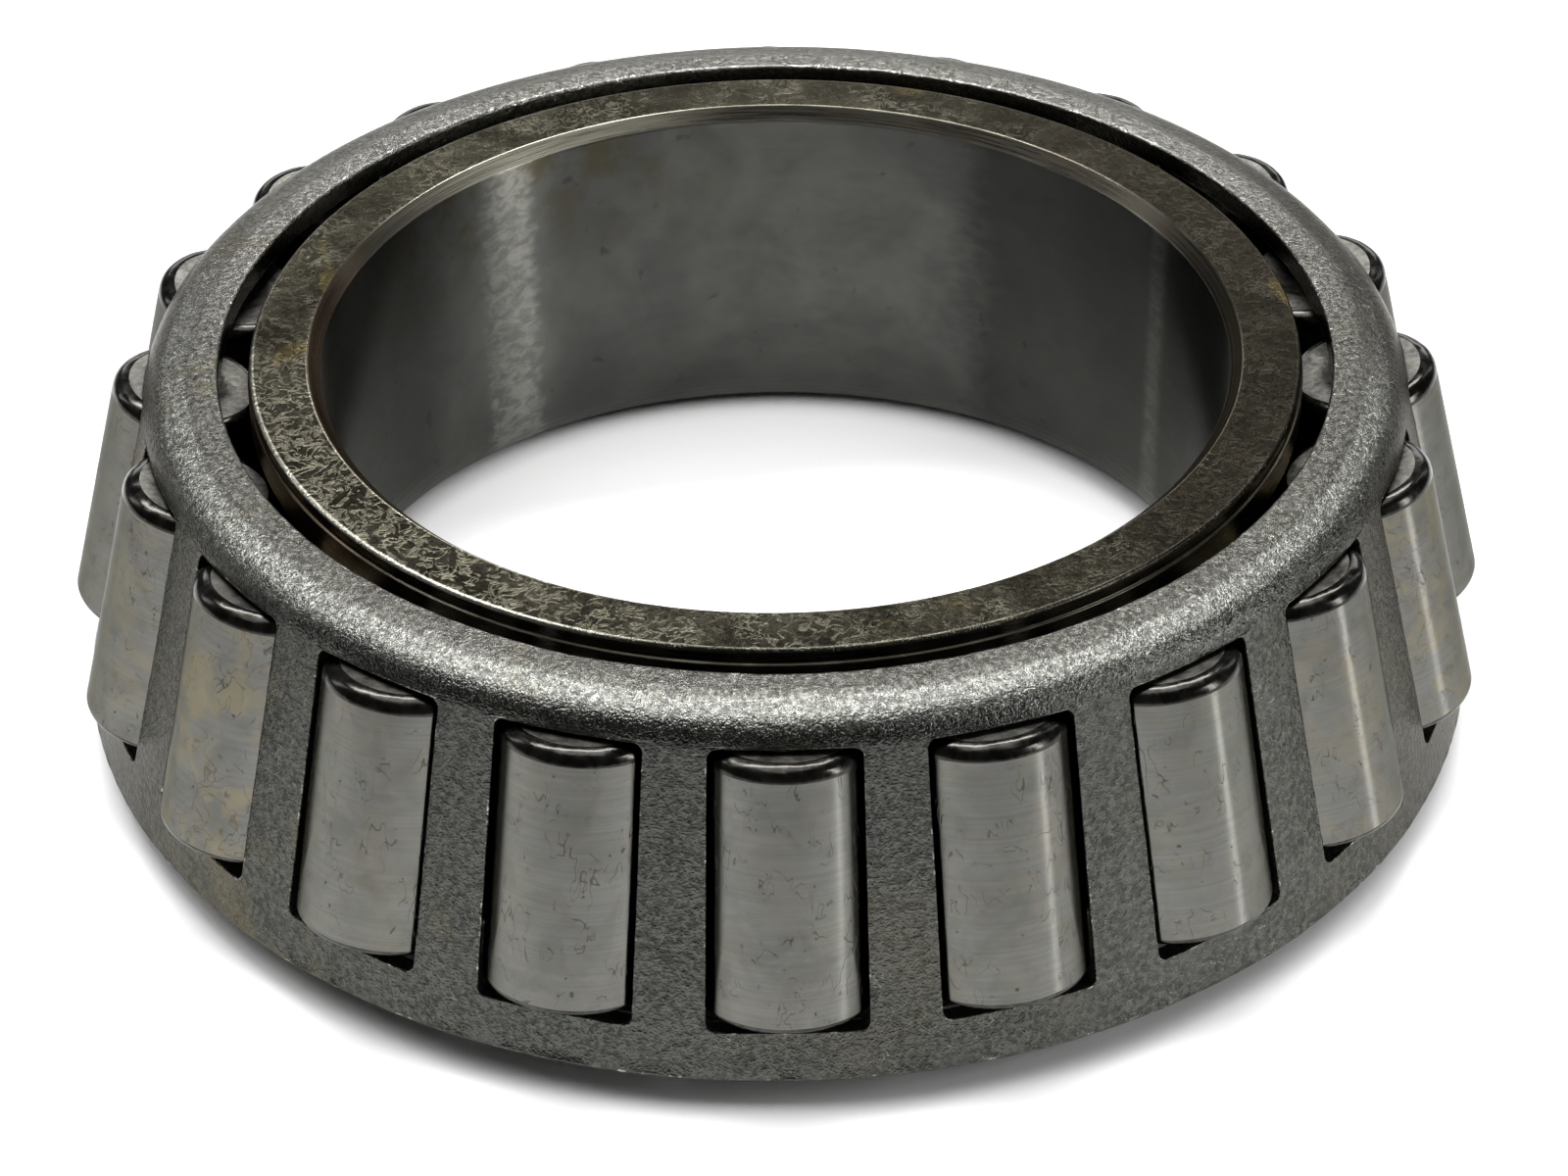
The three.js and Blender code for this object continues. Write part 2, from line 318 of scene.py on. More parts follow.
def cage_look():
    look = Look("pressed_cage_steel", Specular_Tint=(0.67, 0.655, 0.63, 1.0))
    grain = look.noise(3.2, 3.0, 0.62, 0.4)
    speckle = look.level(grain, 0.36, 0.64)
    fine = look.noise(8.0, 2.0, 0.6)
    patches = look.noise(0.55, 3.0, 0.6)
    base = look.mix(speckle, (0.035, 0.036, 0.032), (0.081, 0.083, 0.075))
    base = look.mix(look.level(patches, 0.35, 0.7, 0.0, 0.35), base, (0.078, 0.077, 0.071))

    # The shoulder band is painted brighter as a painted highlight, and darker on its right as painted shade.
    painted_highlight_tone = look.mix(speckle, (0.112, 0.113, 0.104), (0.218, 0.220, 0.202))
    # Painted shade: the right side of the shoulder is darker.
    dark = look.times(look.level(look.x, 16.0, 29.0, 0.0, 0.75), look.level(look.y, -9.0, 2.0))
    shoulder = look.level(look.z, FLANGE_TOP - 4.0, FLANGE_TOP - 2.0)
    base = look.mix(look.times(dark, shoulder), base, (0.026, 0.023, 0.019))
    # Painted highlight: the shoulder band under the flange is lighter.
    painted_highlight_band = look.level(look.z, FLANGE_TOP - 1.3, FLANGE_TOP - 0.25, 0.0, 0.85)
    base = look.mix(painted_highlight_band, base, look.mix(dark, painted_highlight_tone, (0.040, 0.037, 0.032)))

    # The flat of the flange is painted darker at the front as painted shade and paler at the back as a
    # painted reflection.
    painted_shade_tone = look.mix(look.level(patches, 0.42, 0.62), (0.040, 0.039, 0.035), (0.064, 0.062, 0.055))
    front = look.mix(speckle, painted_shade_tone, (0.116, 0.114, 0.103))
    back = look.mix(look.level(grain, 0.38, 0.62), (0.168, 0.166, 0.152), (0.262, 0.260, 0.243))
    flat = look.mix(look.level(look.y, -9.0, 24.0, 0.0, 0.85), front, back)
    base = look.mix(look.level(look.z, FLANGE_TOP - 0.12, FLANGE_TOP - 0.04, 0.0, 0.9), base, flat)

    # Brown stains, more of them on the left, then scratches, and burrs on the punched edges.
    stain = look.level(look.noise(0.11, 3.0, 0.6, 0.8), 0.5, 0.68)
    left = look.level(look.x, -8.0, -30.0, 0.15, 0.9)
    base = look.mix(look.times(stain, left), base, (0.104, 0.093, 0.058))
    scratch = look.hairs(0.55, 0.006, 0.3, 0.58, (1.0, 1.0, 2.2), 3.0)
    base = look.mix(look.times(scratch, 0.5), base, (0.36, 0.36, 0.34))
    burr = look.times(look.wear, look.level(look.noise(1.9, 3.0, 0.7, 0.3, shift=9.0), 0.56, 0.72))
    base = look.mix(burr, base, (0.42, 0.42, 0.40))
    look.set(Base_Color=base, Roughness=look.level(fine, 0.3, 0.7, 0.14, 0.27))
    look.bump((grain, 0.060), (fine, 0.058), (scratch, -0.004))
    return look.material


def cage_inside_look():
    """The punched flanks and the inside of the sheet, dark with oil and scale."""
    look = Look("cage_inside_steel")
    grain = look.noise(3.4, 3.0, 0.62)
    film_and_painted_shade = look.noise(0.5, 3.0, 0.6, 0.5)
    base = look.mix(look.level(grain, 0.34, 0.66), (0.045, 0.043, 0.037), (0.095, 0.092, 0.081))
    base = look.mix(look.level(film_and_painted_shade, 0.4, 0.7, 0.0, 0.6), base, (0.041, 0.036, 0.026))
    look.set(Base_Color=base, Roughness=look.level(film_and_painted_shade, 0.3, 0.7, 0.40, 0.58))
    look.bump((grain, 0.045))
    return look.material


def ring_face_look():
    """Dark scale with fine crinkles, with a painted highlight on the crinkles and rim at the front left and
    painted shade on the right.
    """
    look = Look("ring_face_steel", Specular_Tint=(0.78, 0.75, 0.69, 1.0))
    cloud = look.noise(0.28, 4.0, 0.65, 0.5)
    grain = look.noise(5.0, 3.0, 0.65)
    folds = look.noise(1.1, 3.0, 0.62, 1.2, shift=5.0)
    crinkle = look.level(look.off(folds, 0.5), 0.0, 0.055, 1.0, 0.0)
    patch = look.level(look.noise(0.30, 3.0, 0.6, 0.4, shift=33.0), 0.46, 0.66, 0.0, 0.75)
    base = look.mix(look.level(cloud, 0.35, 0.68), (0.014, 0.013, 0.009), (0.056, 0.052, 0.038))
    base = look.mix(look.times(crinkle, patch), base, (0.160, 0.155, 0.117))
    # Painted highlight at the front left.
    painted_highlight_front_left = look.times(look.level(look.x, -5.0, -16.0), look.level(look.y, 3.0, -7.0, 0.0, 0.7))
    base = look.mix(look.times(crinkle, painted_highlight_front_left), base, (0.20, 0.191, 0.142))
    # The rim is worn bright all round, with a painted highlight added at the front left.
    edge = look.times(look.wear, look.calc("ADD", painted_highlight_front_left, 0.07))
    base = look.mix(edge, base, (0.56, 0.55, 0.46))
    # Painted shade: darker towards the right.
    base = look.mix(look.level(look.x, 4.0, 20.0, 0.0, 0.75), base, (0.014, 0.012, 0.009))
    rust = look.level(look.noise(0.22, 2.0, 0.5, 0.5, shift=61.0), 0.66, 0.74, 0.0, 0.6)
    base = look.mix(rust, base, (0.10, 0.078, 0.030))
    look.set(Base_Color=base, Roughness=look.level(grain, 0.3, 0.7, 0.26, 0.40))
    look.bump((grain, 0.006), (crinkle, 0.012))
    return look.material


def ring_bore_look():
    """Ground steel, with painted shade at the sides, darker towards the foot, and two painted highlight
    stripes at the back.
    """
    look = Look("ring_bore_steel", Specular_Tint=(0.87, 0.87, 0.84, 1.0))
    lines = look.noise(9.0, 3.0, 0.6, 0.0, look.rings)
    cloud = look.noise(0.22, 3.0, 0.55, 0.4)
    grain = look.noise(1.1, 3.0, 0.6, 0.6, None, (1.0, 1.0, 1.6))
    base = look.mix(look.level(cloud, 0.3, 0.7), (0.080, 0.080, 0.075), (0.108, 0.108, 0.100))
    spots = look.level(look.noise(0.8, 2.0, 0.5, 0.3, shift=14.0), 0.66, 0.76, 0.0, 0.6)
    base = look.mix(spots, base, (0.042, 0.042, 0.035))

    # An olive tint, high on the left.
    place = look.times(look.level(look.z, 11.0, 18.5), look.level(look.x, 2.0, -12.0))
    olive = look.times(place, look.level(look.noise(0.35, 3.0, 0.6), 0.42, 0.62))
    base = look.mix(look.times(olive, 0.8), base, (0.070, 0.062, 0.034))

    # Painted shade at the sides, with wavy edges, and darker towards the foot.
    ripple = look.noise(0.9, 2.0, 0.5, 0.0, None, (1.0, 1.0, 2.2))
    across = look.calc("ADD", look.x, look.times(ripple, 1.2))
    left, right = look.level(across, -15.5, -18.5, 0.0, 0.55), look.level(across, 9.5, 13.0, 0.0, 0.70)
    film_and_painted_shade = look.calc("MAXIMUM", look.calc("MAXIMUM", left, right), look.level(look.z, 9.0, 2.0, 0.0, 0.4))
    base = look.mix(film_and_painted_shade, base, (0.020, 0.020, 0.018))

    # Painted highlight stripes: a broad one on the left and a narrow one on the right.
    broad = look.level(look.off(across, -13.5), 0.9, 1.6, 0.75, 0.0)
    narrow = look.level(look.off(look.x, 20.1), 0.1, 0.5, 0.36, 0.0)
    painted_highlight = look.times(look.calc("MAXIMUM", broad, narrow), look.level(look.y, 0.0, 4.0))
    painted_stripe_tone = look.mix(look.level(grain, 0.35, 0.65), (0.105, 0.105, 0.094), (0.190, 0.189, 0.173))
    base = look.mix(painted_highlight, base, painted_stripe_tone)
    look.set(Base_Color=base, Roughness=look.level(ripple, 0.3, 0.7, 0.345, 0.375))
    look.brushed_round_axis(1.0)
    look.bump((lines, 0.0012), (ripple, 0.003))
    return look.material


def ring_turned_look():
    """The ribs, reliefs and chamfers, with worn edges."""
    look = Look("ring_turned_steel", Specular_Tint=(0.60, 0.56, 0.48, 1.0))
    lines = look.noise(12.0, 3.0, 0.65, 0.0, look.rings)
    cloud = look.noise(0.5, 3.0, 0.6, 0.3)
    base = look.mix(look.level(lines, 0.35, 0.65), (0.050, 0.046, 0.037), (0.072, 0.067, 0.055))
    base = look.mix(look.level(cloud, 0.45, 0.75, 0.0, 0.5), base, (0.060, 0.044, 0.028))
    worn = look.times(look.wear, look.level(cloud, 0.2, 0.6, 0.9, 0.2))
    base = look.mix(worn, base, (0.21, 0.20, 0.155))
    # Painted highlight on the chamfer at the back left.
    painted_highlight = look.times(look.level(look.x, -1.0, -9.0, 0.0, 0.85), look.level(look.y, 9.0, 16.0))
    base = look.mix(painted_highlight, base, (0.37, 0.355, 0.285))
    brown = look.times(look.level(look.x, -17.0, -21.0, 0.0, 0.6), look.level(look.y, 10.0, 4.0))
    base = look.mix(brown, base, (0.085, 0.058, 0.042))
    look.set(Base_Color=base, Roughness=look.level(lines, 0.3, 0.7, 0.24, 0.36))
    look.brushed_round_axis(0.5)
    look.bump((lines, 0.004))
    return look.material


def roller_body_look():
    """Ground steel with small marks and pits, and brown oil on the stained rollers."""
    look = Look("roller_ground_steel", Specular_Tint=(0.48, 0.48, 0.46, 1.0))
    lines = look.noise(1.0, 4.0, 0.7, 0.0, None, (0.12, 0.12, 7.0))
    cloud = look.noise(0.45, 4.0, 0.6, 0.8)
    base = look.mix(look.level(lines, 0.3, 0.7), (0.116, 0.116, 0.108), (0.142, 0.142, 0.132))
    base = look.mix(look.level(cloud, 0.46, 0.7, 0.0, 0.55), base, (0.110, 0.109, 0.097))
    oil = look.level(look.noise(0.5, 3.0, 0.6, 0.8, shift=8.0), 0.42, 0.66)
    base = look.mix(look.times(oil, look.stain), base, (0.165, 0.150, 0.108))
    veins = look.hairs(0.9, 0.02, 0.3, 0.45, None, 12.0)
    base = look.mix(look.times(veins, look.stain), base, (0.105, 0.088, 0.056))
    marks = look.hairs(1.5, 0.016, 0.75, 0.50, (1.0, 1.0, 0.5), 3.0)
    base = look.mix(look.times(marks, 0.8), base, (0.045, 0.042, 0.034))
    pits = look.level(look.noise(2.2, 1.0, shift=27.0), 0.755, 0.79)
    base = look.mix(pits, base, (0.060, 0.060, 0.052))
    look.set(Base_Color=base, Roughness=look.level(cloud, 0.3, 0.7, 0.22, 0.26))
    look.brushed_round_axis(1.0)
    look.bump((lines, 0.0004), (marks, -0.004))
    return look.material


def roller_corner_look():
    look = Look("roller_corner_steel")
    lines = look.noise(9.0, 3.0, 0.6, 0.0, look.rings)
    cloud = look.noise(1.6, 3.0, 0.6, 0.5)
    base = look.mix(look.level(cloud, 0.3, 0.7), (0.026, 0.025, 0.022), (0.056, 0.055, 0.050))
    look.set(Base_Color=base, Roughness=look.level(cloud, 0.3, 0.7, 0.16, 0.26))
    look.bump((lines, 0.0015), (cloud, 0.010))
    return look.material


def roller_end_look():
    look = Look("roller_end_steel")
    grain = look.noise(2.8, 3.0, 0.6, 0.5)
    cloud = look.noise(0.9, 3.0, 0.6, 0.4)
    base = look.mix(look.level(grain, 0.3, 0.7), (0.14, 0.136, 0.122), (0.27, 0.265, 0.245))
    base = look.mix(look.level(cloud, 0.45, 0.7, 0.0, 0.6), base, (0.14, 0.13, 0.10))
    look.set(Base_Color=base, Roughness=look.level(cloud, 0.3, 0.7, 0.30, 0.48))
    look.bump((grain, 0.020), (cloud, 0.030))
    return look.material


# ---------------------------------------------------------------- bearing geometry

def roller_radius(distance):
    """A roller's radius at a distance from the apex along its axis."""
    return distance * math.tan(ROLLER_HALF_ANGLE)


def roller_place(distance, offset):
    """(radius, height) of a point given along and square to the roller's axis, from the apex."""
    sin, cos = math.sin(ROLLER_AXIS_ANGLE), math.cos(ROLLER_AXIS_ANGLE)
    return distance * sin + offset * cos, APEX_HEIGHT - distance * cos + offset * sin


def raceway_radius(height):
    return (APEX_HEIGHT - height) * math.tan(ROLLER_AXIS_ANGLE - ROLLER_HALF_ANGLE) - RUNNING_GAP


def rib_face_height(distance, radius):
    """The height, at a radius, of the large rib's face, which crosses the roller's axis at the distance."""
    end = roller_place(distance, 0)
    return end[1] + (radius - end[0]) * math.tan(ROLLER_AXIS_ANGLE)


def wall_radius(height):
    """The radius of the outside of the cage's conical wall."""
    return WINDOW_TOP_RADIUS + (WINDOW_TOP_HEIGHT - height) * math.tan(WALL_ANGLE)


# ---------------------------------------------------------------- inner ring

FACE, BORE, TURNED = 0, 1, 2
RING_SEGMENTS = 320
RIB_BAND_HEIGHT = 0.82
RIB_BAND_OUT = 0.1


def ring_profile():
    """The ring's corners, anticlockwise from the back of the bore. The raceway is ground like the bore."""
    large_end = ROLLER_LARGE_EDGE + ROLLER_LARGE_CORNER + RUNNING_GAP
    foot = raceway_radius(LARGE_RIB_FOOT_HEIGHT) + LARGE_RIB_FOOT_STEP
    start = rib_face_height(large_end, foot) + RELIEF_WIDTH
    finish = roller_place(ROLLER_SMALL_EDGE, -roller_radius(ROLLER_SMALL_EDGE))[1] + RELIEF_DEPTH
    relief = raceway_radius(finish) - RELIEF_DEPTH
    rib_foot = RING_TOP - SMALL_RIB_HEIGHT
    band_top = RING_TOP - RIB_BAND_HEIGHT
    return [
        (BORE_RADIUS, 0.0, BORE_BACK_FILLET, BORE),
        (LARGE_RIB_RADIUS, 0.0, 0.7, TURNED),
        (LARGE_RIB_RADIUS, rib_face_height(large_end, LARGE_RIB_RADIUS), 0.25, TURNED),
        (foot, rib_face_height(large_end, foot), 0.06, TURNED),
        (raceway_radius(start) - RELIEF_DEPTH, start - RELIEF_WIDTH / 2, 0.12, TURNED),
        (raceway_radius(start), start, 0.05, BORE),
        (raceway_radius(finish), finish, 0.05, TURNED),
        (relief, finish + RELIEF_DEPTH, 0.1, TURNED),
        (relief, rib_foot - RELIEF_DEPTH, 0.1, TURNED),
        (SMALL_RIB_RADIUS + RIB_BAND_OUT, rib_foot, 0.22, TURNED),
        (SMALL_RIB_RADIUS + RIB_BAND_OUT, band_top, 0.05, TURNED),
        (SMALL_RIB_RADIUS - 0.02, band_top + 0.07, 0.04, TURNED),
        (SMALL_RIB_RADIUS, RING_TOP, 0.2, FACE),
        (BORE_RADIUS + BORE_TOP_CHAMFER, RING_TOP, 0.14, TURNED),
        (BORE_RADIUS, RING_TOP - BORE_TOP_CHAMFER, 0.18, BORE),
    ]


def inner_ring():
    shell = Shell()
    shell.lathe(rounded(ring_profile()), RING_SEGMENTS)
    piece = shell.piece("bearing_inner_ring", [ring_face_look(), ring_bore_look(), ring_turned_look()])
    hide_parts("inner_ring")
    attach(piece, "inner_ring")


# ---------------------------------------------------------------- cage
# The sheet is measured by travel, up its outside from the middle of a window, and by depth below the outside.
# Each window has its own sector, with a patch round the window and plain strips above and below it.

OUTSIDE, INSIDE = 0, 1
CORNER_STEPS, FOOT_STEPS, SIDE_STEPS = 8, 14, 26
WINDOW_SIDES = (FOOT_STEPS, SIDE_STEPS, FOOT_STEPS, SIDE_STEPS)
RIM_OUTER_ROUND, RIM_INNER_ROUND = 0.06, 0.08
FLANGE_TOP_ROUND, FLANGE_UNDER_ROUND = 0.2, 0.12
FOOT_OUTER_ROUND, FOOT_INNER_ROUND = 0.18, 0.14
FLANK_DEPTHS = (0.1, 0.2, 0.3, 0.42, 0.6, 0.8, 0.95, SHEET - 0.11)
SHARES_TO_RIM = (0.0, 0.3, 0.55, 0.76, 0.9, 0.97)
SHEET_WAVE = 0.035
EDGE_RAGGEDNESS = 0.028

BAND_ANGLE = math.pi / 2 - DIPPED_BAND_TILT
SHOULDER_HEIGHT = (FLANGE_TOP - DIPPED_BAND_WIDTH * math.sin(DIPPED_BAND_TILT)
                   - SHOULDER_RADIUS * math.cos(DIPPED_BAND_TILT))
SHOULDER_CENTRE = (wall_radius(SHOULDER_HEIGHT) - SHOULDER_RADIUS / math.cos(WALL_ANGLE), SHOULDER_HEIGHT)
MID_HEIGHT = WINDOW_TOP_HEIGHT - WINDOW_LENGTH / 2 * math.cos(WALL_ANGLE)
MID_RADIUS = wall_radius(MID_HEIGHT)
WALL_TOP = (SHOULDER_CENTRE[1] + SHOULDER_RADIUS * math.sin(WALL_ANGLE) - MID_HEIGHT) / math.cos(WALL_ANGLE)
WALL_FOOT = (CAGE_BOTTOM - MID_HEIGHT) / math.cos(WALL_ANGLE)
PATCH_TOP = WALL_TOP + 0.12
PATCH_FOOT = -WINDOW_LENGTH / 2 - 0.75


def sheet_point(travel, depth):
    """(radius, height) on the sheet, over the wall, the shoulder, the dipped band and the flat flange."""
    sin, cos = math.sin(WALL_ANGLE), math.cos(WALL_ANGLE)
    if travel <= WALL_TOP:
        r, z, nr, nz = MID_RADIUS - travel * sin, MID_HEIGHT + travel * cos, cos, sin
    else:
        turn = min(WALL_ANGLE + (travel - WALL_TOP) / SHOULDER_RADIUS, BAND_ANGLE)
        beyond = travel - WALL_TOP - (turn - WALL_ANGLE) * SHOULDER_RADIUS
        on_band = min(beyond, DIPPED_BAND_WIDTH)
        nr, nz = math.cos(turn), math.sin(turn)
        r = SHOULDER_CENTRE[0] + SHOULDER_RADIUS * nr - on_band * nz
        z = SHOULDER_CENTRE[1] + SHOULDER_RADIUS * nz + on_band * nr
        if beyond > DIPPED_BAND_WIDTH:
            r, nr, nz = r - (beyond - DIPPED_BAND_WIDTH), 0.0, 1.0
    return r - depth * nr, z - depth * nz


def pocket_chord(out, height):
    """Half the width of the hollow for the roller, at a place in the window's middle plane."""
    sin, cos = math.sin(ROLLER_AXIS_ANGLE), math.cos(ROLLER_AXIS_ANGLE)
    distance = out * sin + (APEX_HEIGHT - height) * cos
    offset = out * cos + (height - APEX_HEIGHT) * sin
    radius = roller_radius(distance) + POCKET_GAP
    for edge, corner, past in (
        (ROLLER_SMALL_EDGE, ROLLER_SMALL_CORNER, ROLLER_SMALL_EDGE - distance),
        (ROLLER_LARGE_EDGE, ROLLER_LARGE_CORNER, distance - ROLLER_LARGE_EDGE),
    ):
        if past > 0:
            round_corner = corner + POCKET_GAP
            if past >= round_corner:
                return 0.0
            radius = roller_radius(edge) - corner + math.sqrt(round_corner ** 2 - past ** 2)
    return math.sqrt(max(0.0, radius ** 2 - offset ** 2))


def on_sheet(x, y, depth):
    """(sideways, outwards, height) of a point of the sheet, from its place in the window's flat frame."""
    sin, cos = math.sin(WALL_ANGLE), math.cos(WALL_ANGLE)
    lift = 0.0
    for _ in range(4):
        out = MID_RADIUS - y * sin + lift * cos
        height = MID_HEIGHT + y * cos + lift * sin
        lift += (wall_radius(height) - math.hypot(out, x)) * cos - depth
    return x, MID_RADIUS - y * sin + lift * cos, MID_HEIGHT + y * cos + lift * sin


def window_outline():
    """(point, outward direction) round one window, anticlockwise from the middle of its lower left corner."""
    half = WINDOW_LENGTH / 2
    corners = [
        Vector((-WINDOW_BOTTOM_HALF_WIDTH, -half)), Vector((WINDOW_BOTTOM_HALF_WIDTH, -half)),
        Vector((WINDOW_TOP_HALF_WIDTH, half)), Vector((-WINDOW_TOP_HALF_WIDTH, half)),
    ]
    arcs = []
    for i, corner in enumerate(corners):
        before = (corners[i - 1] - corner).normalized()
        after = (corners[(i + 1) % 4] - corner).normalized()
        arcs.append(corner_arc(corner, before, after, WINDOW_CORNER, CORNER_STEPS))
    loop = []
    for i, steps in enumerate(WINDOW_SIDES):
        arc, next_arc = arcs[i], arcs[(i + 1) % 4]
        spot, way = arc[-1]
        loop += arc[CORNER_STEPS // 2:]
        loop += [(spot.lerp(next_arc[0][0], k / steps), way) for k in range(1, steps)]
        loop += next_arc[:CORNER_STEPS // 2]
    return loop


def sector_border():
    """Where each point of the outline goes on the edge of its patch: (turn, travel)."""
    half = PITCH / 2
    corners = [(-half, PATCH_FOOT), (half, PATCH_FOOT), (half, PATCH_TOP), (-half, PATCH_TOP)]
    border = []
    for i, steps in enumerate(WINDOW_SIDES):
        start, end = Vector(corners[i]), Vector(corners[(i + 1) % 4])
        count = steps + CORNER_STEPS
        border += [start.lerp(end, k / count) for k in range(count)]
    return border


def rim_point(spot, way, spread, depth):
    """A point on a window's rim: spread is how far it stands back from the outline."""
    x, y = spot.x, spot.y
    hollow = 0.0
    if abs(way.x) > 0.5:
        _, out, height = on_sheet(x, y, depth)
        hollow = max(0.0, pocket_chord(out, height) - abs(x))
    x += math.copysign(hollow, x) + way.x * spread
    return on_sheet(x, y + way.y * spread, depth)


def on_turn(point):
    """(turn, travel) of a point of the sheet given as (sideways, outwards, height)."""
    x, out, height = point
    sin, cos = math.sin(WALL_ANGLE), math.cos(WALL_ANGLE)
    return Vector((math.atan2(x, out), (height - MID_HEIGHT) * cos - (math.hypot(x, out) - MID_RADIUS) * sin))


def rim_rows():
    """(spread, depth, wear, finish) through the sheet at a window's rim, from the outside in."""
    rows = []
    for k in range(5):
        a = math.pi / 2 * k / 4
        rows.append((RIM_OUTER_ROUND * (1 - math.sin(a)), RIM_OUTER_ROUND * (1 - math.cos(a)), 1.0, OUTSIDE))
    rows += [(0.0, depth, 0.0, INSIDE) for depth in FLANK_DEPTHS]
    for k in range(4):
        a = math.pi / 2 * k / 3
        depth = SHEET - RIM_INNER_ROUND * (1 - math.sin(a))
        rows.append((RIM_INNER_ROUND * (1 - math.cos(a)), depth, 1.0, INSIDE))
    return rows


def patch_loops():
    """Closed loops of (turn, radius, height) round a window, each with its wear and its finish.

    They run from the patch's edge on the outside, through the rim, to its edge on the inside.
    """
    outline = window_outline()
    border = sector_border()
    middle, rims = [], []
    for spread, depth, wear, finish in rim_rows():
        points = [rim_point(spot, way, spread, depth) for spot, way in outline]
        middle.append(([(math.atan2(x, out), math.hypot(x, out), z) for x, out, z in points], wear, finish))
        rims.append([on_turn(point) for point in points])
    outside, inside = [], []
    for loops, rim, depth, finish in ((outside, rims[0], 0.0, OUTSIDE), (inside, rims[-1], SHEET, INSIDE)):
        for share in SHARES_TO_RIM:
            places = [edge.lerp(end, share) for edge, end in zip(border, rim)]
            loops.append(([(place.x, *sheet_point(place.y, depth)) for place in places], 0.0, finish))
    return outside + middle + inside[::-1]


def corner_rows(corner, before, after, size, finish):
    """Worn rows round a corner of the sheet. before and after lead away from it, along its two sides."""
    arc = corner_arc(Vector(corner), Vector(before), Vector(after), size, 6)
    return [(spot.x, spot.y, 1.0, finish) for spot, _ in arc]


def upper_strip():
    """The sheet above the windows, over the flange and back along its inside."""
    shoulder_end = WALL_TOP + (BAND_ANGLE - WALL_ANGLE) * SHOULDER_RADIUS
    band_end = shoulder_end + DIPPED_BAND_WIDTH
    flange_end = band_end + sheet_point(band_end, 0.0)[0] - FLANGE_INNER_RADIUS
    sloping = [PATCH_TOP + (shoulder_end - PATCH_TOP) * k / 14 for k in range(15)]
    sloping += [shoulder_end + 0.1, shoulder_end + DIPPED_BAND_WIDTH / 2, band_end - 0.3]
    bend = [band_end - 0.04, band_end + 0.04]
    flat = [band_end + 0.3, flange_end - FLANGE_TOP_ROUND - 0.08]
    rows = [(*sheet_point(travel, 0.0), 0.0, OUTSIDE) for travel in sloping + bend + flat]
    rows += corner_rows((FLANGE_INNER_RADIUS, FLANGE_TOP), (1.0, 0.0), (0.0, -1.0), FLANGE_TOP_ROUND, OUTSIDE)
    for depth in (FLANGE_TOP_ROUND + BESIDE_CORNER, SHEET / 2, SHEET - FLANGE_UNDER_ROUND - BESIDE_CORNER):
        rows.append((FLANGE_INNER_RADIUS, FLANGE_TOP - depth, 0.0, OUTSIDE))
    under = (FLANGE_INNER_RADIUS, FLANGE_TOP - SHEET)
    rows += corner_rows(under, (0.0, 1.0), (1.0, 0.0), FLANGE_UNDER_ROUND, INSIDE)
    rows += [(*sheet_point(travel, SHEET), 0.0, INSIDE) for travel in (sloping + flat)[::-1]]
    return rows


def lower_strip():
    """The sheet below the windows, round its cut foot and back up the inside."""
    outer = wall_radius(CAGE_BOTTOM)
    inner = outer - SHEET / math.cos(WALL_ANGLE)
    up = (-math.sin(WALL_ANGLE), math.cos(WALL_ANGLE))
    last = WALL_FOOT + FOOT_OUTER_ROUND + BESIDE_CORNER
    travels = [PATCH_FOOT + (last - PATCH_FOOT) * k / 3 for k in range(4)]
    rows = [(*sheet_point(travel, 0.0), 0.0, OUTSIDE) for travel in travels]
    rows += corner_rows((outer, CAGE_BOTTOM), up, (-1.0, 0.0), FOOT_OUTER_ROUND, OUTSIDE)
    rows += [(outer + (inner - outer) * share, CAGE_BOTTOM, 0.0, OUTSIDE) for share in (0.25, 0.5, 0.75)]
    rows += corner_rows((inner, CAGE_BOTTOM), (1.0, 0.0), up, FOOT_INNER_ROUND, INSIDE)
    rows += [(*sheet_point(travel, SHEET), 0.0, INSIDE) for travel in travels[::-1]]
    return rows


def pressed(spot, normal, wear):
    """The slight waviness of pressed sheet, and ragged punched edges."""
    wave = noise.noise(spot * 0.16) * SHEET_WAVE
    ragged = noise.noise(spot * 2.1) * EDGE_RAGGEDNESS * wear
    return normal * (wave + ragged)


def cage():
    loops = patch_loops()
    strips = (upper_strip(), lower_strip())
    strip_steps = FOOT_STEPS + CORNER_STEPS
    shell = Shell()
    for i in range(ROLLER_COUNT):
        centre = i * PITCH - math.pi / 2
        rows = [[around(r, centre + t, z) for t, r, z in loop + loop[:1]] for loop, _, _ in loops]
        shell.grid(rows, [wear for _, wear, _ in loops], [finish for _, _, finish in loops])
        turns = [centre - PITCH / 2 + PITCH * k / strip_steps for k in range(strip_steps + 1)]
        for strip in strips:
            shell.sweep(strip, turns)
    piece = shell.piece("bearing_cage", [cage_look(), cage_inside_look()], shape=pressed)
    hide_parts("cage")
    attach(piece, "cage")


# ---------------------------------------------------------------- rollers

BODY, CORNER, END = 0, 1, 2
ROLLER_SEGMENTS = 96
BODY_STEPS = 12
BODY_CROWN = 0.004
BODY_EDGE_DROP = 0.0012
LARGE_END_HOLLOW, SMALL_END_HOLLOW = 0.10, 0.28
FORGED_DEPTH = 0.05
OILED_ROLLERS = {17: 1.0, 16: 0.5, 3: 0.45, 4: 0.7}


def quarter(radius, height, size, start, steps, following):
    """Corner rows round a quarter circle. The last has the finish of the face that follows."""
    rows = []
    for k in range(steps + 1):
        a = start + math.pi / 2 * k / steps
        finish = CORNER if k < steps else following
        rows.append((radius + size * math.cos(a), height + size * math.sin(a), finish))
    return rows


